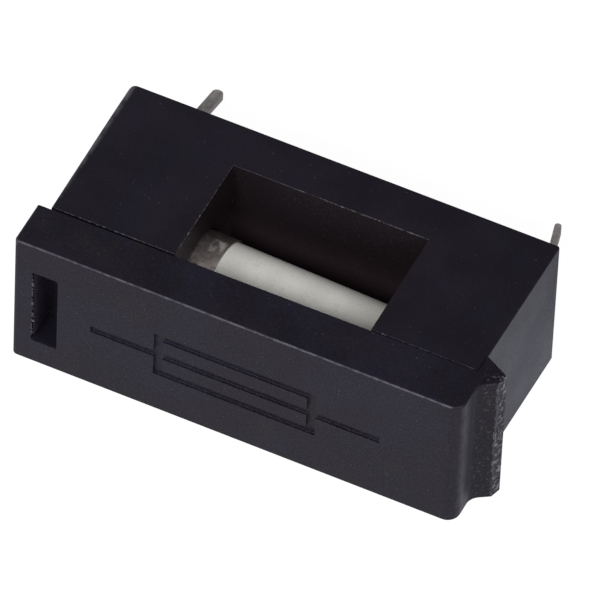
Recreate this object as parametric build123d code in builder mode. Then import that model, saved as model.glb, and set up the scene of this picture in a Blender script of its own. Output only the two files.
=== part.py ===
from build123d import *
import os

# Cartridge fuse holder for a circuit board, for one 5 x 20 mm fuse.
#
# Frame: the board seat is Z = 0 and +Z points away from the board. X runs along
# the fuse, with X = 0 within 0.1 mm of half-way between the terminal tips. Y = 0 is
# half-way across the width, and the inspection window faces -Y. Millimetres throughout.

# ---------------------------------------------------------------- driving dimensions

# fuse cartridge
fuse_length = 20.0
fuse_cap_diameter = 5.24
fuse_cap_length = 5.0
fuse_cap_wall = 0.11
fuse_cap_end = 0.25
tube_diameter = 5.0
tube_bore = 3.4
element_diameter = 0.3
solder_length = 0.75
fuse_centre_x = -0.75       # the cartridge sits a little off centre in its clips
fuse_axis_z = 7.61
fuse_tilt = 2.0             # degrees; the end under the finger lug sits higher

# base housing
base_left_x = 13.85
base_right_x = -13.31
base_end_draft = 0.16       # how much each end face leans in over the height
base_width = 9.7
base_height = 10.6
end_wall = 1.1
side_wall = 1.0
window_length = 12.33
window_centre_x = -0.285
window_floor_z = 3.0
partition = 0.8
partition_notch = 5.5
partition_notch_z = 7.4
chamber_floor_z = 4.0
underside_relief = 1.7
base_left_radius = 0.45     # along the foot of the left end
base_right_radius = 0.15
base_corner_radius = 0.3    # the two upright edges of the left end
base_edge_radius = 0.12     # along both sides, at the foot and the right end

# carrier, the pull-out cap that holds the fuse
carrier_left_x = 14.45
carrier_right_x = -13.6
carrier_width = 9.85
carrier_height = 3.26
rim_gap = (0.25, 0.12)       # between base and carrier, at the left and the right end
carrier_roof = 1.6
carrier_left_radius = 0.3
carrier_right_radius = 0.8
carrier_edge_radius = 0.15
lug_reach = 1.18            # how far the finger lug stands out past the carrier
lug_lap = 1.15              # how far the lug hangs down over the end of the base
lug_edge_z = (10.3, 11.1)   # lower and upper edge of the lug's blunt tip
lug_tip_lean = 0.23         # how much the tip leans back at its upper edge
lug_root_z = 11.72
lug_root_radius = 0.9
left_corner_radius = (0.2, 0.3)  # corners in plan, at the window side and the closed side
lug_corner_radius = (0.1, 0.35)
lug_gap = 0.015
slot_centre_x = 12.45
slot_centre_y = 0.2
slot_size = (1.66, 5.84)
slot_depth = 2.4
slot_corner_radius = 0.2
claw_thickness = 0.9
claw_outer = 6.9
claw_tip_z = 5.8
claw_notch_z = 7.95
claw_gap = 0.02
tongue = 0.85
tongue_width = 6.8
tongue_bottom_z = 9.0

# fuse symbol engraved in the top of the carrier
symbol_centre = (0.4, 0.2)
symbol_length = 18.2
symbol_box = (10.2, 3.5)
symbol_stroke = 0.55
symbol_depth = 0.2

# contact clips
clip_thickness = 0.4
clip_length = 2.2
jaw_gap = 0.02
jaw_lip_z = 9.2
jaw_top_z = 10.0
jaw_flare = 0.5
strip_width = 1.8
running = 0.2               # free space beside the claws

# terminals: X where each leaves the base and X of its tip, size in X and Y, and length
terminal_left = (11.25, 10.8, 0.7, 0.42, 5.65)
terminal_right = (-11.8, -11.0, 0.42, 0.7, 5.22)
terminal_straight = 2.0     # below the seat, before the blade toes in
terminal_slot_gap = 0.05

# ---------------------------------------------------------------- derived places

top_z = base_height + carrier_height
base_length = base_left_x - base_right_x
base_mid_x = (base_left_x + base_right_x) / 2
window_left_x = window_centre_x + window_length / 2
window_right_x = window_centre_x - window_length / 2
chamber_width = base_width - 2 * side_wall
claw_left_x = window_left_x + partition + running
claw_right_x = window_right_x - partition - running - claw_thickness
clip_left_x = claw_left_x + claw_thickness + running
clip_right_x = claw_right_x - running - clip_length
jaw_half = fuse_cap_diameter / 2 + jaw_gap


# ---------------------------------------------------------------- base housing

with BuildPart() as base_housing:
    with BuildSketch(Plane.XZ):
        with BuildLine():
            Polyline(
                (base_left_x, 0),
                (base_left_x - base_end_draft, base_height),
                (base_right_x + base_end_draft, base_height),
                (base_right_x, 0),
                close=True,
            )
        make_face()
    extrude(amount=base_width / 2, both=True)
    foot_edges = base_housing.edges().filter_by(Axis.Y).group_by(Axis.Z)[0].sort_by(Axis.X)
    fillet(foot_edges[0], base_right_radius)
    fillet(foot_edges[-1], base_left_radius)
    with BuildSketch(Plane.XY) as plan:
        with Locations((base_mid_x, 0)):
            Rectangle(base_length, base_width)
        fillet(plan.vertices().group_by(Axis.X)[-1], base_corner_radius)
    extrude(amount=base_height, mode=Mode.INTERSECT)
    side_edges = base_housing.faces().filter_by(Axis.Y).edges()
    foot_and_right = side_edges.filter_by(
        lambda edge: edge.center().Z < base_height - 0.01 and edge.center().X < window_left_x
    )
    fillet(foot_and_right, base_edge_radius)

    # middle cavity, open to the rim and, through the window, to the -Y side
    with BuildSketch(Plane.XY.offset(window_floor_z)):
        with Locations((window_centre_x, -side_wall / 2)):
            Rectangle(window_length, base_width - side_wall)
    extrude(amount=base_height, mode=Mode.SUBTRACT)

    # clip chambers beyond the two partitions
    with BuildSketch(Plane.XY.offset(chamber_floor_z)):
        for inner_x, outer_x in (
            (window_left_x + partition, base_left_x - end_wall),
            (window_right_x - partition, base_right_x + end_wall),
        ):
            with Locations(((inner_x + outer_x) / 2, 0)):
                Rectangle(abs(outer_x - inner_x), chamber_width)
    extrude(amount=base_height, mode=Mode.SUBTRACT)

    # notch in both partitions for the fuse, round below and open above
    with BuildSketch(Plane.YZ.offset(window_centre_x)):
        with Locations((0, partition_notch_z)):
            Circle(partition_notch / 2)
        with Locations((0, partition_notch_z + base_height / 2)):
            Rectangle(partition_notch, base_height)
    extrude(amount=window_length / 2 + 2 * partition, both=True, mode=Mode.SUBTRACT)

    # relief under the middle, so that only the two ends and the rim meet the board
    with BuildSketch(Plane.XY):
        with Locations((window_centre_x, 0)):
            Rectangle(window_length, chamber_width)
    extrude(amount=underside_relief, mode=Mode.SUBTRACT)

    # slots for the terminals
    with BuildSketch(Plane.XY):
        for exit_x, _, size_x, size_y, _ in (terminal_left, terminal_right):
            with Locations((exit_x, 0)):
                Rectangle(size_x + 2 * terminal_slot_gap, size_y + 2 * terminal_slot_gap)
    extrude(amount=base_height, mode=Mode.SUBTRACT)
base_housing.part.label = "base_housing"


# ---------------------------------------------------------------- fuse carrier

with BuildPart() as fuse_carrier:
    # side profile of the cap with its finger lug, which laps over the end of the base
    def lug_inner_x(z):
        return base_right_x + base_end_draft * z / base_height - lug_gap

    lug_tip_x = carrier_right_x - lug_reach
    with BuildSketch(Plane.XZ):
        with BuildLine():
            Polyline(
                (carrier_left_x, base_height + rim_gap[0]),
                (carrier_left_x, top_z),
                (carrier_right_x, top_z),
                (carrier_right_x, lug_root_z),
                (lug_tip_x + lug_tip_lean, lug_edge_z[1]),
                (lug_tip_x, lug_edge_z[0]),
                (lug_inner_x(base_height - lug_lap), base_height - lug_lap),
                (lug_inner_x(base_height), base_height + rim_gap[1]),
                close=True,
            )
        make_face()
    extrude(amount=carrier_width / 2, both=True)
    top_edges = fuse_carrier.edges().filter_by(Axis.Y).group_by(Axis.Z)[-1].sort_by(Axis.X)
    fillet(top_edges[0], carrier_right_radius)
    fillet(top_edges[-1], carrier_left_radius)
    lug_root = fuse_carrier.edges().filter_by(Axis.Y).filter_by_position(
        Axis.Z, lug_root_z - 0.01, lug_root_z + 0.01
    )
    fillet(lug_root, lug_root_radius)
    rim = fuse_carrier.faces().filter_by(Axis.Z).sort_by(Axis.Z)[-1].edges().filter_by(Axis.X)
    fillet(rim, carrier_edge_radius)

    # all four corners rounded in plan
    with BuildSketch(Plane.XY) as plan:
        with Locations(((carrier_left_x + lug_tip_x) / 2, 0)):
            Rectangle(carrier_left_x - lug_tip_x, carrier_width)
        ends = plan.vertices().group_by(Axis.X)
        for corners, radii in zip(ends, (lug_corner_radius, left_corner_radius)):
            for corner, radius in zip(corners.sort_by(Axis.Y), radii):
                fillet(corner, radius)
    extrude(amount=top_z, mode=Mode.INTERSECT)

    # hollow underside
    hollow_left_x = slot_centre_x - slot_size[0] / 2 - 0.6
    hollow_right_x = carrier_right_x + 1.6
    with BuildSketch(Plane.XY.offset(base_height)):
        with Locations(((hollow_left_x + hollow_right_x) / 2, 0)):
            Rectangle(hollow_left_x - hollow_right_x, chamber_width - 0.2)
    extrude(amount=carrier_height - carrier_roof, mode=Mode.SUBTRACT)

    # two claws that hang down and straddle the fuse
    claw_top_z = top_z - carrier_roof / 2
    for claw_x in (claw_left_x, claw_right_x):
        with BuildSketch(Plane.YZ.offset(claw_x)) as claw_profile:
            with Locations((0, (claw_tip_z + claw_top_z) / 2)):
                Rectangle(claw_outer, claw_top_z - claw_tip_z)
            with Locations((0, claw_notch_z)):
                Circle(fuse_cap_diameter / 2 + claw_gap, mode=Mode.SUBTRACT)
            with Locations((0, claw_notch_z - base_height / 2)):
                Rectangle(fuse_cap_diameter + 2 * claw_gap, base_height, mode=Mode.SUBTRACT)
            fillet(claw_profile.vertices().group_by(Axis.Z)[0], 0.15)
        extrude(amount=claw_thickness)

    # tongues that centre the carrier in the two ends of the base
    with BuildSketch(Plane.XY.offset(tongue_bottom_z)):
        for tongue_x in (
            base_left_x - end_wall - running - tongue / 2,
            base_right_x + end_wall + running + tongue / 2,
        ):
            with Locations((tongue_x, 0)):
                Rectangle(tongue, tongue_width)
    extrude(amount=claw_top_z - tongue_bottom_z)

    # blind slot near the left end
    with BuildSketch(Plane.XY.offset(top_z)):
        with Locations((slot_centre_x, slot_centre_y)):
            RectangleRounded(*slot_size, slot_corner_radius)
    extrude(amount=-slot_depth, mode=Mode.SUBTRACT)

    # engraved fuse symbol: a box with a line through it
    with BuildSketch(Plane.XY.offset(top_z)):
        with Locations(symbol_centre):
            Rectangle(*symbol_box)
            Rectangle(symbol_box[0] - 2 * symbol_stroke, symbol_box[1] - 2 * symbol_stroke,
                      mode=Mode.SUBTRACT)
            Rectangle(symbol_length, symbol_stroke)
    extrude(amount=-symbol_depth, mode=Mode.SUBTRACT)
fuse_carrier.part.label = "fuse_carrier"


# ---------------------------------------------------------------- contact clips

def clip_with_terminal(clip_x, terminal):
    """A strip-metal fork for one end of the fuse, with its terminal blade in one piece."""
    exit_x, tip_x, size_x, size_y, length = terminal
    side = 1 if exit_x > 0 else -1
    outer = jaw_half + clip_thickness

    with BuildPart() as clip:
        with BuildSketch(Plane.YZ.offset(clip_x)):
            with BuildLine():
                Polyline(
                    (0, chamber_floor_z),
                    (outer, chamber_floor_z),
                    (outer, jaw_lip_z),
                    (outer + jaw_flare, jaw_top_z),
                    (jaw_half + jaw_flare, jaw_top_z),
                    (jaw_half, jaw_lip_z),
                    (jaw_half, chamber_floor_z + clip_thickness),
                    (0, chamber_floor_z + clip_thickness),
                    close=True,
                )
            make_face()
            mirror(about=Plane.YZ)
        extrude(amount=clip_length)
        lower_edges = clip.edges().filter_by(Axis.X).filter_by_position(
            Axis.Z, chamber_floor_z - 0.01, chamber_floor_z + 0.01
        )
        fillet(lower_edges, clip_thickness * 0.9)

        # strip from the fork to the terminal
        strip_inner_x = clip_x + clip_length if side > 0 else clip_x
        strip_outer_x = exit_x + side * size_x / 2
        with BuildSketch(Plane.XY.offset(chamber_floor_z)):
            with Locations(((strip_inner_x + strip_outer_x) / 2, 0)):
                Rectangle(abs(strip_outer_x - strip_inner_x), strip_width)
        extrude(amount=clip_thickness)

        # terminal: straight through the base and the board, then toed in to a rounded tip
        with BuildSketch(Plane.XZ) as blade:
            with BuildLine():
                Polyline(
                    (exit_x - size_x / 2, chamber_floor_z + clip_thickness / 2),
                    (exit_x + size_x / 2, chamber_floor_z + clip_thickness / 2),
                    (exit_x + size_x / 2, -terminal_straight),
                    (tip_x + size_x / 2, -length),
                    (tip_x - size_x / 2, -length),
                    (exit_x - size_x / 2, -terminal_straight),
                    close=True,
                )
            make_face()
            fillet(blade.vertices().group_by(Axis.Z)[0], size_x * 0.45)
        extrude(amount=size_y / 2, both=True)
    return clip


contact_clip_left = clip_with_terminal(clip_left_x, terminal_left)
contact_clip_left.part.label = "contact_clip_left"
contact_clip_right = clip_with_terminal(clip_right_x, terminal_right)
contact_clip_right.part.label = "contact_clip_right"


# ---------------------------------------------------------------- fuse cartridge

# the cartridge's own plane: across its middle, with the axis towards the left end
fuse_plane = Plane(
    origin=(fuse_centre_x, 0, fuse_axis_z),
    x_dir=(0, 1, 0),
    z_dir=Vector(1, 0, 0).rotate(Axis.Y, fuse_tilt),
)
half_length = fuse_length / 2
half_tube = half_length - fuse_cap_end
half_filling = half_tube - solder_length

with BuildPart() as ceramic_tube:
    with BuildSketch(fuse_plane):
        Circle(tube_diameter / 2)
        Circle(tube_bore / 2, mode=Mode.SUBTRACT)
    extrude(amount=half_tube, both=True)
ceramic_tube.part.label = "ceramic_tube"


def fuse_end_cap(side):
    """A pressed cup over one end of the tube; side is +1 for the left end."""
    with BuildPart() as cap:
        with BuildSketch(fuse_plane.offset(side * half_length)):
            Circle(fuse_cap_diameter / 2)
        extrude(amount=-side * fuse_cap_length)
        rims = cap.edges().filter_by(GeomType.CIRCLE).sort_by(Axis.X)
        fillet(rims[-1] if side > 0 else rims[0], 0.2)
        with BuildSketch(fuse_plane.offset(side * half_tube)):
            Circle(fuse_cap_diameter / 2 - fuse_cap_wall)
        extrude(amount=-side * fuse_cap_length, mode=Mode.SUBTRACT)
    return cap


end_cap_left = fuse_end_cap(1)
end_cap_left.part.label = "end_cap_left"
end_cap_right = fuse_end_cap(-1)
end_cap_right.part.label = "end_cap_right"


def solder_joint(side):
    """The solder button that joins the fuse element to one end cap."""
    with BuildPart() as solder:
        with BuildSketch(fuse_plane.offset(side * half_tube)):
            Circle(tube_bore / 2 - 0.05)
        extrude(amount=-side * solder_length)
    return solder


solder_left = solder_joint(1)
solder_left.part.label = "solder_left"
solder_right = solder_joint(-1)
solder_right.part.label = "solder_right"

with BuildPart() as fuse_element:
    with BuildSketch(fuse_plane):
        Circle(element_diameter / 2)
    extrude(amount=half_filling, both=True)
fuse_element.part.label = "fuse_element"

with BuildPart() as sand_filler:
    with BuildSketch(fuse_plane):
        Circle(tube_bore / 2 - 0.01)
        Circle(element_diameter / 2 + 0.01, mode=Mode.SUBTRACT)
    extrude(amount=half_filling - 0.01, both=True)
sand_filler.part.label = "sand_filler"


# ---------------------------------------------------------------- export

os.makedirs("parts", exist_ok=True)
for piece in (
    base_housing, fuse_carrier, contact_clip_left, contact_clip_right, ceramic_tube,
    end_cap_left, end_cap_right, solder_left, solder_right, fuse_element, sand_filler,
):
    export_step(piece.part, f"parts/{piece.part.label}.step")
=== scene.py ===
import math

import bmesh
import bpy
from mathutils import Matrix, Vector, noise


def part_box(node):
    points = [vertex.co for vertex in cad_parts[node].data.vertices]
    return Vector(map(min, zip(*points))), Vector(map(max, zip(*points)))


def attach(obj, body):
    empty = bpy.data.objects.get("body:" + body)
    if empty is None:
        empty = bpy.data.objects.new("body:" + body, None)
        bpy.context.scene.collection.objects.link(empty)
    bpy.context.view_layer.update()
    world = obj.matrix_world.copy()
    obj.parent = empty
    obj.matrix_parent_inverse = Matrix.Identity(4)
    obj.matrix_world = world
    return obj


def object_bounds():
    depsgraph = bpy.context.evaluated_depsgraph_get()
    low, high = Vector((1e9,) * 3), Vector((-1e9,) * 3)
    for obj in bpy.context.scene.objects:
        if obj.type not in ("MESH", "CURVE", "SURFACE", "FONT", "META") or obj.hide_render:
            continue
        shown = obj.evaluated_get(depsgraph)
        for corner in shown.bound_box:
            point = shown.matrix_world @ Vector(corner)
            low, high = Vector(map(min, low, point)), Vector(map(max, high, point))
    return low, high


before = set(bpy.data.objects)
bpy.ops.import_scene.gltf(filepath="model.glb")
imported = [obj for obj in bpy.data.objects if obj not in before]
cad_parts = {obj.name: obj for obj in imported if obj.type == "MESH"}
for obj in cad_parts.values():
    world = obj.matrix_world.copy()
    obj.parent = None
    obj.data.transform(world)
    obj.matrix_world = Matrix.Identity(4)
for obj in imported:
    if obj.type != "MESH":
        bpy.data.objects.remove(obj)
cad_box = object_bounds()
MM = 0.001


# ---------------------------------------------------------------- places, in millimetres

# left is +X, and the finger lug is at the right end; the window faces the front, -Y
base_lo, base_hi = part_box("base_housing")
carrier_lo, carrier_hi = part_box("fuse_carrier")
face_y, base_left, rim_z = base_lo[1] / MM, base_hi[0] / MM, base_hi[2] / MM
lug_tip, top_z = carrier_lo[0] / MM, carrier_hi[2] / MM
cap_right = lug_tip + 1.18      # the carrier's own end face, above the lug
window_left, window_right, window_floor = 5.88, -6.45, 3.0
slot_left, slot_right, slot_front, slot_back = 13.28, 11.62, -2.72, 3.12


# ---------------------------------------------------------------- node helpers

COLOUR_A, COLOUR_B, COLOUR_OUT = 6, 7, 2    # sockets of a Mix node that mixes colours


class Paint:
    """One node material, with texture coordinates in millimetres in the part's frame."""

    def __init__(self, name):
        self.material = bpy.data.materials.new(name)
        self.material.use_nodes = True
        self.tree = self.material.node_tree
        self.shader = self.tree.nodes["Principled BSDF"]
        place = self.tree.nodes.new("ShaderNodeTexCoord")
        self.place = self.vector("SCALE", place.outputs["Object"], scale=1 / MM)

    def link(self, value, socket):
        """Feeds a socket from another socket, or sets it to a plain value."""
        if isinstance(value, bpy.types.NodeSocket):
            self.tree.links.new(value, socket)
        elif value is not None:
            if isinstance(value, tuple) and len(value) == 3 and len(socket.default_value) == 4:
                value = (*value, 1)
            socket.default_value = value

    def vector(self, operation, a, b=None, scale=None):
        node = self.tree.nodes.new("ShaderNodeVectorMath")
        node.operation = operation
        self.link(a, node.inputs[0])
        self.link(b, node.inputs[1])
        if scale is not None:
            self.link(scale, node.inputs["Scale"])
        return node.outputs["Value" if operation in ("DOT_PRODUCT", "LENGTH") else "Vector"]

    def math(self, operation, a, b):
        node = self.tree.nodes.new("ShaderNodeMath")
        node.operation = operation
        self.link(a, node.inputs[0])
        self.link(b, node.inputs[1])
        return node.outputs["Value"]

    def ramp(self, value, low, high, to_low=0.0, to_high=1.0):
        """Maps low..high onto to_low..to_high, with a smooth step and no overshoot."""
        node = self.tree.nodes.new("ShaderNodeMapRange")
        node.interpolation_type = "SMOOTHSTEP"
        for socket, v in zip(node.inputs[:5], (value, low, high, to_low, to_high)):
            self.link(v, socket)
        return node.outputs["Result"]

    def mix(self, factor, a, b):
        node = self.tree.nodes.new("ShaderNodeMix")
        node.data_type = "RGBA"
        self.link(factor, node.inputs["Factor"])
        self.link(a, node.inputs[COLOUR_A])
        self.link(b, node.inputs[COLOUR_B])
        return node.outputs[COLOUR_OUT]

    def noise(self, scale, detail=3.0, roughness=0.55, stretch=None, distortion=0.0):
        """Noise with scale in features per millimetre; stretch scales the three axes."""
        node = self.tree.nodes.new("ShaderNodeTexNoise")
        self.link(self.vector("MULTIPLY", self.place, stretch) if stretch else self.place,
                  node.inputs["Vector"])
        for name, v in (("Scale", scale), ("Detail", detail), ("Roughness", roughness),
                        ("Distortion", distortion)):
            node.inputs[name].default_value = v
        return node.outputs["Fac"]

    def specks(self, scale, radius, share):
        """1 in round spots; scale is cells per millimetre, share the part of cells with a spot."""
        node = self.tree.nodes.new("ShaderNodeTexVoronoi")
        self.link(self.place, node.inputs["Vector"])
        node.inputs["Scale"].default_value = scale
        spot = self.ramp(node.outputs["Distance"], radius * 0.5, radius, 1, 0)
        split = self.tree.nodes.new("ShaderNodeSeparateColor")
        self.link(node.outputs["Color"], split.inputs[0])
        chosen = self.math("LESS_THAN", split.outputs[0], share)
        return self.math("MULTIPLY", spot, chosen)

    def axis(self, index):
        node = self.tree.nodes.new("ShaderNodeSeparateXYZ")
        self.link(self.place, node.inputs[0])
        return node.outputs[index]

    def inside_box(self, low, high, soft=0.15):
        """1 inside a box of corners in millimetres and 0 outside, with soft sides."""
        inside = None
        for i in range(3):
            along = self.axis(i)
            for outer, inner in ((low[i] - soft, low[i]), (high[i] + soft, high[i])):
                side = self.ramp(along, outer, inner)
                inside = self.math("MULTIPLY", inside, side) if inside else side
        return inside

    def edge_normal(self, radius):
        """The surface normal with every edge rounded by radius, in millimetres."""
        node = self.tree.nodes.new("ShaderNodeBevel")
        node.samples = 6
        node.inputs["Radius"].default_value = radius * MM
        return node.outputs["Normal"]

    def edges(self, radius):
        """1 on edges and 0 on flats, from how far rounding turns the normal."""
        flat = self.tree.nodes.new("ShaderNodeNewGeometry")
        turn = self.vector("DOT_PRODUCT", flat.outputs["True Normal"], self.edge_normal(radius))
        return self.ramp(turn, 0.995, 0.80)

    def slants(self):
        """1 where the surface faces between the axes, as on rounded edges, and 0 elsewhere."""
        face = self.tree.nodes.new("ShaderNodeNewGeometry")
        split = self.tree.nodes.new("ShaderNodeSeparateXYZ")
        self.link(self.vector("ABSOLUTE", face.outputs["Normal"]), split.inputs[0])
        most = self.math("MAXIMUM", self.math("MAXIMUM", split.outputs[0], split.outputs[1]),
                         split.outputs[2])
        return self.ramp(most, 0.995, 0.90)

    def bump(self, height, distance, normal=None):
        """Height in 0..1 as relief of the given depth in millimetres."""
        node = self.tree.nodes.new("ShaderNodeBump")
        node.inputs["Strength"].default_value = 1.0
        node.inputs["Distance"].default_value = distance * MM
        self.link(height, node.inputs["Height"])
        self.link(normal, node.inputs["Normal"])
        return node.outputs["Normal"]

    def finish(self, colour, roughness, normal, **fixed):
        """Feeds the shader; fixed holds its other inputs, with _ for the spaces in their names."""
        self.link(colour, self.shader.inputs["Base Color"])
        self.link(roughness, self.shader.inputs["Roughness"])
        self.link(normal, self.shader.inputs["Normal"])
        for name, v in fixed.items():
            self.shader.inputs[name.replace("_", " ")].default_value = v
        return self.material


# ---------------------------------------------------------------- camera, floor and light

def make_camera(target, azimuth, elevation, roll, distance, lens):
    """A camera that looks at target; azimuth 0 looks along +Y, and roll turns the picture.

    Angles are in degrees, target and distance in metres, and lens in millimetres.
    """
    a, e, r = (math.radians(v) for v in (azimuth, elevation, roll))
    back = Vector((math.sin(a) * math.cos(e), -math.cos(a) * math.cos(e), math.sin(e)))
    level_right = Vector((math.cos(a), math.sin(a), 0))
    level_up = back.cross(level_right)
    up = level_up * math.cos(r) + level_right * math.sin(r)
    axes = Matrix((up.cross(back), up, back)).transposed().to_4x4()
    data = bpy.data.cameras.new("camera")
    data.sensor_width = 36
    data.lens = lens
    data.clip_start, data.clip_end = 0.05, 20
    camera = bpy.data.objects.new("camera", data)
    camera.matrix_world = Matrix.Translation(target + back * distance) @ axes
    bpy.context.scene.collection.objects.link(camera)
    bpy.context.scene.camera = camera


def area_light(name, position, target, size, power):
    data = bpy.data.lights.new(name, "AREA")
    data.shape = "DISK"
    data.size = size
    data.energy = power
    light = bpy.data.objects.new(name, data)
    light.location = position
    light.rotation_euler = (Vector(target) - Vector(position)).to_track_quat("-Z", "Y").to_euler()
    bpy.context.scene.collection.objects.link(light)


def seen_or_light(tree, seen, light, socket):
    """Feeds a colour socket one value for what the camera sees and another for other rays."""
    path = tree.nodes.new("ShaderNodeLightPath")
    choice = tree.nodes.new("ShaderNodeMix")
    choice.data_type = "RGBA"
    for value, place in ((light, COLOUR_A), (seen, COLOUR_B)):
        if isinstance(value, bpy.types.NodeSocket):
            tree.links.new(value, choice.inputs[place])
        else:
            choice.inputs[place].default_value = (*value, 1)
    tree.links.new(path.outputs["Is Camera Ray"], choice.inputs["Factor"])
    tree.links.new(choice.outputs[COLOUR_OUT], socket)


def studio_world(seen, light):
    """White where the camera sees it, and a softer grey as the light it gives."""
    world = bpy.data.worlds.new("studio")
    world.use_nodes = True
    tree = world.node_tree
    tree.nodes.clear()
    sky = tree.nodes.new("ShaderNodeBackground")
    output = tree.nodes.new("ShaderNodeOutputWorld")
    seen_or_light(tree, (seen,) * 3, (light,) * 3, sky.inputs["Color"])
    tree.links.new(sky.outputs["Background"], output.inputs["Surface"])
    bpy.context.scene.world = world


def make_floor(height, seen, front, rear, far, tint):
    """A plain pale floor that glows as a light, most strongly close behind and to the left of the
    object.

    front, rear and far are how strongly it glows in front of the object, close behind it and
    further off, and tint is the colour of that glow. The camera sees it evenly, as seen.
    """
    half_size = 3.0
    corners = ((-1, -1), (1, -1), (1, 1), (-1, 1))
    mesh = bpy.data.meshes.new("floor")
    mesh.from_pydata([(x * half_size, y * half_size, height) for x, y in corners], [],
                     [(0, 1, 2, 3)])
    floor = bpy.data.objects.new("floor", mesh)
    bpy.context.scene.collection.objects.link(floor)
    paint = Paint("floor")
    past_left_end = paint.math("MAXIMUM", paint.math("SUBTRACT", paint.axis(0), 12.0), 0.0)
    behind = paint.math("ADD", paint.axis(1), past_left_end)
    near = paint.ramp(behind, -10.0, 14.0, front, rear)
    glow = paint.math("MULTIPLY", near, paint.ramp(behind, 12.0, 50.0, 1.0, far))
    light = paint.vector("SCALE", tint, scale=glow)
    seen_or_light(paint.tree, (seen,) * 3, light, paint.shader.inputs["Emission Color"])
    paint.finish((0.12, 0.12, 0.12), 1.0, None, Specular_IOR_Level=0.0, Emission_Strength=1.0)
    mesh.materials.append(paint.material)


middle = Vector((0, 0, 7.0)) * MM
make_camera(target=Vector((-0.0916, 0.3605, 6.2788)) * MM, azimuth=-19.321, elevation=37.061,
            roll=147.06, distance=0.70802, lens=744.5)
studio_world(seen=1.0, light=0.50)
make_floor(height=cad_box[0][2], seen=0.95, front=0.03, rear=0.74, far=0.45, tint=(0.87, 0.89, 1.0))
area_light("key", (0.03, -0.28, 0.31), middle, size=0.14, power=0.85)
area_light("side", (-0.32, -0.18, 0.14), middle, size=0.16, power=0.3)
bpy.context.scene.view_settings.view_transform = "Standard"


# ---------------------------------------------------------------- materials

# tones that the black plastic takes on besides its own two shades
COLD_SMUDGE = (0.0110, 0.0105, 0.0290)
WARM_SMUDGE = (0.0180, 0.0120, 0.0150)
PALE_GRAIN = (0.037, 0.034, 0.041)
DARK_GRAIN = (0.002, 0.002, 0.002)
# pale colour for scuffed edges, also used for painted highlights
WORN_AND_HIGHLIGHT = (0.085, 0.082, 0.090)
DUST = (0.20, 0.19, 0.20)
COARSE_HOLLOW = (0.003, 0.002, 0.003)
COARSE_FLAKE = (0.11, 0.10, 0.115)
TORN_TIP = (0.22, 0.21, 0.22)


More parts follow.
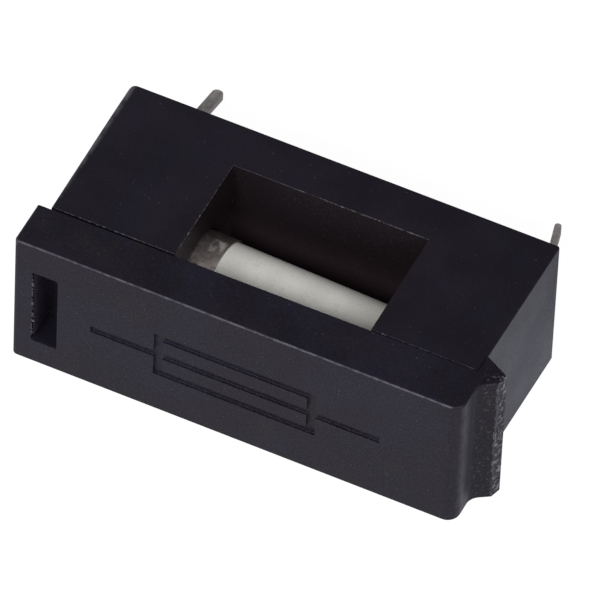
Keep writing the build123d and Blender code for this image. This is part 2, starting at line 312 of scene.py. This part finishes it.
def black_plastic(name, dark, light, tints_and_painted_light, wear_and_highlights, dusty, smudged, grained, relief,
                  matte=None, coarse_from_x=None):
    """Black moulded plastic: fine grain, bluish smudges, dust specks and pale edges, partly scuffed
    and partly painted highlight.

    The list of tints and painted light gives boxes in millimetres with how soft their sides are
    and their colours in front and behind; some are tints of the plastic, and a paler colour behind
    paints light into a hollow where shade falls. The list of scuffs and painted highlights gives
    boxes with how strongly they pale the surface, and whether on their edges only or all over; some
    are scuffed edges and some are painted highlights. dusty is a box with more dust than elsewhere.
    smudged and grained say how strongly those two show in the colour, from 0 to 1, and relief is
    the depth of the grain in millimetres. Outside the box matte the grain shows a quarter as
    strongly, and from coarse_from_x towards -X the plastic is as coarse as cast iron.
    """
    p = Paint(name)
    cloud = p.noise(0.22, detail=4)
    grain = p.noise(8.0, detail=3, roughness=0.65)
    colour = p.mix(p.ramp(cloud, 0.35, 0.65), dark, light)
    cold = p.ramp(p.noise(0.19, detail=5, roughness=0.6), 0.46, 0.64, 0.0, smudged)
    colour = p.mix(cold, colour, COLD_SMUDGE)
    warm = p.ramp(p.noise(0.31, detail=4, roughness=0.6), 0.50, 0.68, 0.0, smudged)
    colour = p.mix(warm, colour, WARM_SMUDGE)
    shown = p.ramp(p.inside_box(*matte), 0, 1, grained / 4, grained) if matte else grained
    for low, high, tone in ((0.48, 0.70, PALE_GRAIN), (0.46, 0.34, DARK_GRAIN)):
        colour = p.mix(p.math("MULTIPLY", p.ramp(grain, low, high), shown), colour, tone)
    for low, high, soft, front, behind in tints_and_painted_light:
        # colour goes from front to behind along +Y; a paler colour behind is painted light where
        # shade falls in a hollow
        tinting = p.mix(p.ramp(p.axis(1), -1.7, 1.5), front, behind)
        colour = p.mix(p.inside_box(low, high, soft), colour, tinting)

    edges = p.math("MAXIMUM", p.edges(0.11), p.slants())
    broken = p.ramp(p.noise(1.6, detail=4), 0.38, 0.60, 0.15, 1.0)
    shine = 0.0
    # each box pales the surface, on its edges or all over; some boxes are scuffs and some paint a
    # highlight
    for box, amount, edges_only in wear_and_highlights:
        pale_mask = p.math("MULTIPLY", edges, broken) if edges_only else broken
        scuff_and_highlight = p.math("MULTIPLY", p.math("MULTIPLY", pale_mask, p.inside_box(*box)), amount)
        colour = p.mix(scuff_and_highlight, colour, WORN_AND_HIGHLIGHT)
        shine = p.math("ADD", shine, scuff_and_highlight)

    dust = p.math("MULTIPLY", p.specks(1.6, 0.10, 0.35), 0.08)
    dust = p.math("MAXIMUM", dust, p.math("MULTIPLY", p.specks(3.1, 0.16, 0.25), 0.28))
    dust = p.math("MULTIPLY", dust, p.ramp(p.noise(0.6, detail=3), 0.40, 0.60, 0.2, 1.0))
    clumps = p.ramp(p.noise(5.0, detail=4, roughness=0.7), 0.58, 0.72, 0, 0.12)
    clumps = p.math("MULTIPLY", clumps, p.inside_box(*dusty))
    colour = p.mix(p.math("MAXIMUM", dust, clumps), colour, DUST)

    roughness = p.math("ADD", p.ramp(cloud, 0.3, 0.7, 0.41, 0.49),
                       p.ramp(grain, 0.3, 0.7, -0.05, 0.05))
    roughness = p.math("SUBTRACT", roughness, p.math("MULTIPLY", shine, 0.06))
    normal = p.bump(grain, relief, p.edge_normal(0.07))
    if coarse_from_x is not None:
        lug = p.ramp(p.axis(0), coarse_from_x, coarse_from_x - 0.12)
        lumps = p.math("MULTIPLY", p.noise(4.5, detail=3, roughness=0.7), lug)
        normal = p.bump(lumps, 0.08, normal)
        colour = p.mix(p.math("MULTIPLY", lug, 0.6), colour, COARSE_HOLLOW)
        flakes = p.ramp(p.noise(5.0, detail=4, roughness=0.65), 0.56, 0.68, 0, 0.6)
        colour = p.mix(p.math("MULTIPLY", flakes, lug), colour, COARSE_FLAKE)
        tip = p.ramp(p.axis(0), coarse_from_x - 0.89, coarse_from_x - 0.99)
        torn = p.ramp(p.noise(3.2, detail=4, roughness=0.6), 0.50, 0.62)
        colour = p.mix(p.math("MULTIPLY", torn, tip), colour, TORN_TIP)
    return p.finish(colour, roughness, normal, IOR=1.46, Specular_Tint=(0.82, 0.81, 1.0, 1))


def ceramic():
    """Unglazed off-white ceramic with faint clouds, pores and a few dark specks."""
    p = Paint("tube_ceramic")
    cloud = p.noise(0.5, detail=4)
    pores = p.noise(8.0, detail=4, roughness=0.7)
    colour = p.mix(p.ramp(cloud, 0.35, 0.65), (0.76, 0.75, 0.70), (0.84, 0.83, 0.78))
    colour = p.mix(p.ramp(pores, 0.52, 0.70, 0.0, 0.45), colour, (0.47, 0.455, 0.42))
    blotch = p.ramp(p.noise(0.9, detail=5, roughness=0.7), 0.55, 0.72, 0.0, 0.35)
    colour = p.mix(blotch, colour, (0.52, 0.50, 0.45))
    colour = p.mix(p.math("MULTIPLY", p.specks(2.2, 0.13, 0.22), 0.55), colour, (0.26, 0.24, 0.22))
    # painted shade towards the right end of the tube, where the window's right wall shades it,
    # mottled by the clouds
    towards_right = p.ramp(p.axis(0), -3.2, -6.0)
    painted_shade = p.math("MULTIPLY", towards_right, p.ramp(cloud, 0.30, 0.60, 0.25, 0.75))
    colour = p.mix(painted_shade, colour, (0.50, 0.48, 0.43))
    roughness = p.ramp(pores, 0.3, 0.7, 0.42, 0.60)
    return p.finish(colour, roughness, p.bump(pores, 0.004))


def tarnished_cap():
    """Plated cap metal gone brown and dull and scratched, with painted shade on its lower side and
    a painted highlight near one rim.
    """
    p = Paint("cap_metal")
    # a painted highlight near the rim, on the side facing -Y
    highlight_spot = p.inside_box((4.5, -2.9, 6.8), (5.0, -2.2, 7.5), soft=0.3)
    tinting = p.noise(0.9, detail=5, roughness=0.65)
    blotch = p.noise(3.0, detail=4, roughness=0.6, distortion=0.4)
    around = p.noise(1.2, detail=4, roughness=0.7, stretch=(12.0, 1.0, 1.0))
    along = p.noise(1.2, detail=4, roughness=0.7, stretch=(1.0, 9.0, 9.0))
    colour = p.mix(p.ramp(tinting, 0.35, 0.65), (0.31, 0.265, 0.26), (0.56, 0.495, 0.48))
    # painted shade: darker towards -Z, on the lower side of the cap
    colour = p.mix(p.ramp(p.axis(2), 7.6, 6.2, 0.0, 0.75), colour, (0.15, 0.12, 0.11))
    colour = p.mix(p.ramp(blotch, 0.50, 0.72), colour, (0.17, 0.135, 0.125))
    scratch = p.math("MULTIPLY", p.ramp(along, 0.60, 0.75), 0.6)
    # pale scratches, and the painted highlight near the rim, mottled with noise
    pale_mask = p.math("MULTIPLY", p.ramp(p.noise(2.2, detail=4), 0.34, 0.60), highlight_spot)
    colour = p.mix(p.math("MAXIMUM", scratch, pale_mask), colour, (0.97, 0.91, 0.86))
    roughness = p.math("ADD", p.ramp(blotch, 0.3, 0.7, 0.32, 0.52),
                       p.ramp(around, 0.4, 0.7, 0.0, 0.10))
    relief = p.bump(p.math("ADD", around, along), 0.010, p.edge_normal(0.05))
    return p.finish(colour, roughness, relief, Metallic=0.9)


def tinned_strip():
    """Dull tin plating on strip metal, with a rolled grain and grey blotches."""
    p = Paint("contact_metal")
    blotch = p.noise(1.6, detail=5, roughness=0.6)
    rolled = p.noise(1.5, detail=4, roughness=0.7, stretch=(10.0, 10.0, 1.0))
    colour = p.mix(p.ramp(blotch, 0.35, 0.65), (0.35, 0.322, 0.295), (0.56, 0.53, 0.495))
    colour = p.mix(p.math("MULTIPLY", p.edges(0.06), 0.5), colour, (0.52, 0.50, 0.48))
    roughness = p.ramp(blotch, 0.3, 0.7, 0.38, 0.55)
    return p.finish(colour, roughness, p.bump(rolled, 0.008, p.edge_normal(0.05)), Metallic=0.9)


def plain_metal(name, dark, light, rough):
    """Soft metal with a mottled skin, for solder and wire."""
    p = Paint(name)
    mottle = p.noise(3.0, detail=4)
    colour = p.mix(p.ramp(mottle, 0.35, 0.65), dark, light)
    roughness = p.ramp(mottle, 0.3, 0.7, rough, rough + 0.15)
    return p.finish(colour, roughness, p.bump(mottle, 0.01), Metallic=1.0)


def quartz_sand():
    """Packed quartz grains."""
    p = Paint("quartz_sand")
    grains = p.noise(6.0, detail=2)
    colour = p.mix(p.ramp(grains, 0.4, 0.6), (0.52, 0.47, 0.38), (0.82, 0.79, 0.72))
    return p.finish(colour, 0.7, p.bump(grains, 0.05))


MATERIALS = {
    "base_housing": black_plastic(
        "housing_plastic", (0.0085, 0.0066, 0.0108), (0.0118, 0.0086, 0.0140),
        tints_and_painted_light=[
            # reddish tint inside the window, paler towards +Y as painted light where the fuse's
            # shade falls
            ((window_right - 0.15, face_y + 0.1, window_floor - 0.1),
             (window_left + 0.22, 4.2, rim_z + 1.4), 0.15,
             (0.0120, 0.0078, 0.0092), (0.035, 0.022, 0.026)),
        ],
        wear_and_highlights=[
            # the lower and the left edge of the window
            (((window_right - 0.45, face_y - 0.1, window_floor - 0.3),
              (window_left - 0.28, face_y + 0.25, window_floor + 0.2)), 0.35, True),
            (((window_left - 0.08, face_y - 0.1, window_floor - 0.3),
              (window_left + 0.22, face_y + 0.25, rim_z + 0.1)), 0.15, True),
            # painted highlight down the upright edge at the left end, less and less towards the rim
            *((((base_left - 0.19, face_y - 0.1, 0.3),
                (base_left + 0.15, face_y + 0.1, high), 0.26), amount, False)
              for high, amount in ((4.5, 0.6), (7.0, 0.9), (9.6, 0.45))),
        ],
        dusty=((window_right - 0.15, face_y + 0.25, window_floor - 0.1),
               (window_left + 0.22, 4.2, rim_z + 1.4)),
        smudged=0.12, grained=0.06, relief=0.0105),
    "fuse_carrier": black_plastic(
        "carrier_plastic", (0.0080, 0.0062, 0.0105), (0.0115, 0.0085, 0.0140),
        tints_and_painted_light=[
            # the inside of the slot in one flat dark colour, and painted light on its left wall,
            # which lies in the slot's shade
            ((slot_right - 0.12, slot_front - 0.08, top_z - 3.86),
             (slot_left + 0.07, slot_back + 0.08, top_z - 0.21), 0.1,
             (0.011, 0.009, 0.015), (0.011, 0.009, 0.015)),
            ((slot_left - 0.06, slot_front + 0.12, top_z - 2.36),
             (slot_left + 0.07, slot_back - 0.12, top_z - 0.36), 0.05,
             (0.065, 0.054, 0.078), (0.065, 0.054, 0.078)),
        ],
        wear_and_highlights=[
            # painted highlights along the rim on the window side and on the rounded right end
            (((cap_right + 0.7, -5.0, top_z - 0.36), (14.6, -4.6, top_z + 0.14)), 0.7, True),
            (((cap_right - 0.02, -4.7, top_z - 1.11), (cap_right + 0.10, 4.7, top_z - 0.36), 0.06),
             0.3, False),
        ],
        dusty=((lug_tip - 0.02, -4.7, 10.3), (cap_right - 0.1, 4.7, 11.8)),
        smudged=0.45, grained=0.65, relief=0.008,
        matte=((-15.0, -4.8, 9.0), (15.0, 4.8, top_z + 0.14), 0.08),
        coarse_from_x=cap_right + 0.01),
    "ceramic_tube": ceramic(),
    "sand_filler": quartz_sand(),
    "fuse_element": plain_metal("element_wire", (0.60, 0.58, 0.54), (0.80, 0.78, 0.74), 0.25),
}
MATERIALS["contact_clip_left"] = MATERIALS["contact_clip_right"] = tinned_strip()
MATERIALS["end_cap_left"] = MATERIALS["end_cap_right"] = tarnished_cap()
MATERIALS["solder_left"] = MATERIALS["solder_right"] = plain_metal(
    "solder", (0.42, 0.42, 0.43), (0.58, 0.58, 0.60), 0.35)

for node_name, material in MATERIALS.items():
    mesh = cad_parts[node_name].data
    mesh.materials.clear()
    mesh.materials.append(material)


# ---------------------------------------------------------------- moulding flash

def ragged_lip(build, start, end, out, up, reach, rise, seed, teeth, cover):
    """Adds one closed, ragged lip of plastic along the edge from start to end, in millimetres.

    out is the way it reaches over the opening and up is the way the face looks. teeth is how
    many bumps there are per millimetre, and cover the part of the edge that carries flash.
    """
    start, end, out, up = Vector(start), Vector(end), Vector(out), Vector(up)
    length = (end - start).length
    count = int(length * teeth * 4)
    rings = []
    for i in range(count + 1):
        t = i / count
        place = t * length
        patch = noise.noise(Vector((place * 0.9, seed, 0.0))) * 1.4 + cover - 0.35
        tooth = noise.noise(Vector((place * teeth, seed, 5.0))) * 0.9 + 0.55
        ends = min(1.0, 8 * min(t, 1 - t))
        size = max(0.05, min(1.0, patch) * min(1.0, max(0.1, tooth))) * ends + 0.02
        swell = max(0.15, 0.6 + noise.noise(Vector((place * teeth * 0.7, seed, 9.0))))
        lift = swell * rise * min(1.0, 2 * size)
        along = start.lerp(end, t)
        section = ((-0.03, -0.04), (-0.03, lift), (reach * size * 0.4, lift * 1.1),
                   (reach * size, lift * 0.2), (reach * size * 0.5, -0.05))
        rings.append([build.verts.new((along + out * a + up * b) * MM) for a, b in section])
    corners = len(rings[0])
    for ring, following in zip(rings, rings[1:]):
        for j in range(corners):
            k = (j + 1) % corners
            build.faces.new((ring[j], ring[k], following[k], following[j]))
    build.faces.new(rings[0][::-1])
    build.faces.new(rings[-1])


def flash_piece(name, lips, body, material):
    """One piece that holds several lips, given as arguments of ragged_lip."""
    build = bmesh.new()
    for lip in lips:
        ragged_lip(build, **lip)
    bmesh.ops.recalc_face_normals(build, faces=build.faces)
    mesh = bpy.data.meshes.new(name)
    build.to_mesh(mesh)
    build.free()
    mesh.materials.append(material)
    piece = bpy.data.objects.new(name, mesh)
    bpy.context.scene.collection.objects.link(piece)
    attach(piece, body)


def torn_plastic(name):
    """Thin flash of the same plastic, greyed where it tore and white in a few flakes."""
    p = Paint(name)
    patch = p.noise(3.5, detail=4, roughness=0.6)
    colour = p.mix(p.ramp(patch, 0.40, 0.66), (0.012, 0.010, 0.016), (0.085, 0.078, 0.100))
    colour = p.mix(p.ramp(p.noise(4.5, detail=3), 0.60, 0.72), colour, (0.27, 0.26, 0.31))
    return p.finish(colour, p.ramp(patch, 0.3, 0.7, 0.40, 0.65), p.bump(patch, 0.02))


torn_housing = torn_plastic("torn_housing_plastic")
torn_carrier = torn_plastic("torn_carrier_plastic")
flash_piece("window_flash", [
    dict(start=(2.9, face_y, window_floor), end=(window_right + 0.05, face_y, window_floor),
         out=(0, 0, 1), up=(0, -1, 0), reach=0.19, rise=0.05, seed=3.1, teeth=2.6, cover=0.42),
    dict(start=(window_left, face_y, window_floor + 0.1), end=(window_left, face_y, rim_z - 0.2),
         out=(-1, 0, 0), up=(0, -1, 0), reach=0.05, rise=0.02, seed=8.4, teeth=3.0, cover=0.05),
], "base", torn_housing)
flash_piece("seam_flash", [
    dict(start=(13.3, face_y, rim_z), end=(window_left + 0.12, face_y, rim_z),
         out=(0, 0, 1), up=(0, -1, 0), reach=0.07, rise=0.02, seed=4.7, teeth=3.0, cover=0.12),
    dict(start=(window_right - 0.15, face_y, rim_z), end=(-12.9, face_y, rim_z),
         out=(0, 0, 1), up=(0, -1, 0), reach=0.07, rise=0.02, seed=6.2, teeth=3.0, cover=0.20),
], "base", torn_housing)
flash_piece("slot_flash", [
    dict(start=(slot_left, slot_front + 0.27, top_z - 0.02),
         end=(slot_left, slot_back - 0.27, top_z - 0.02),
         out=(-1, 0, 0), up=(0, 0, 1), reach=0.24, rise=0.012, seed=2.6, teeth=6.5, cover=0.95),
], "carrier", torn_carrier)
flash_piece("lug_flash", [
    dict(start=(lug_tip + 0.21, -4.70, 11.05), end=(lug_tip + 0.21, 4.45, 11.05),
         out=(-0.27, 0, -0.963), up=(-0.963, 0, 0.27),
         reach=0.45, rise=0.03, seed=5.5, teeth=2.2, cover=0.45),
], "carrier", torn_carrier)
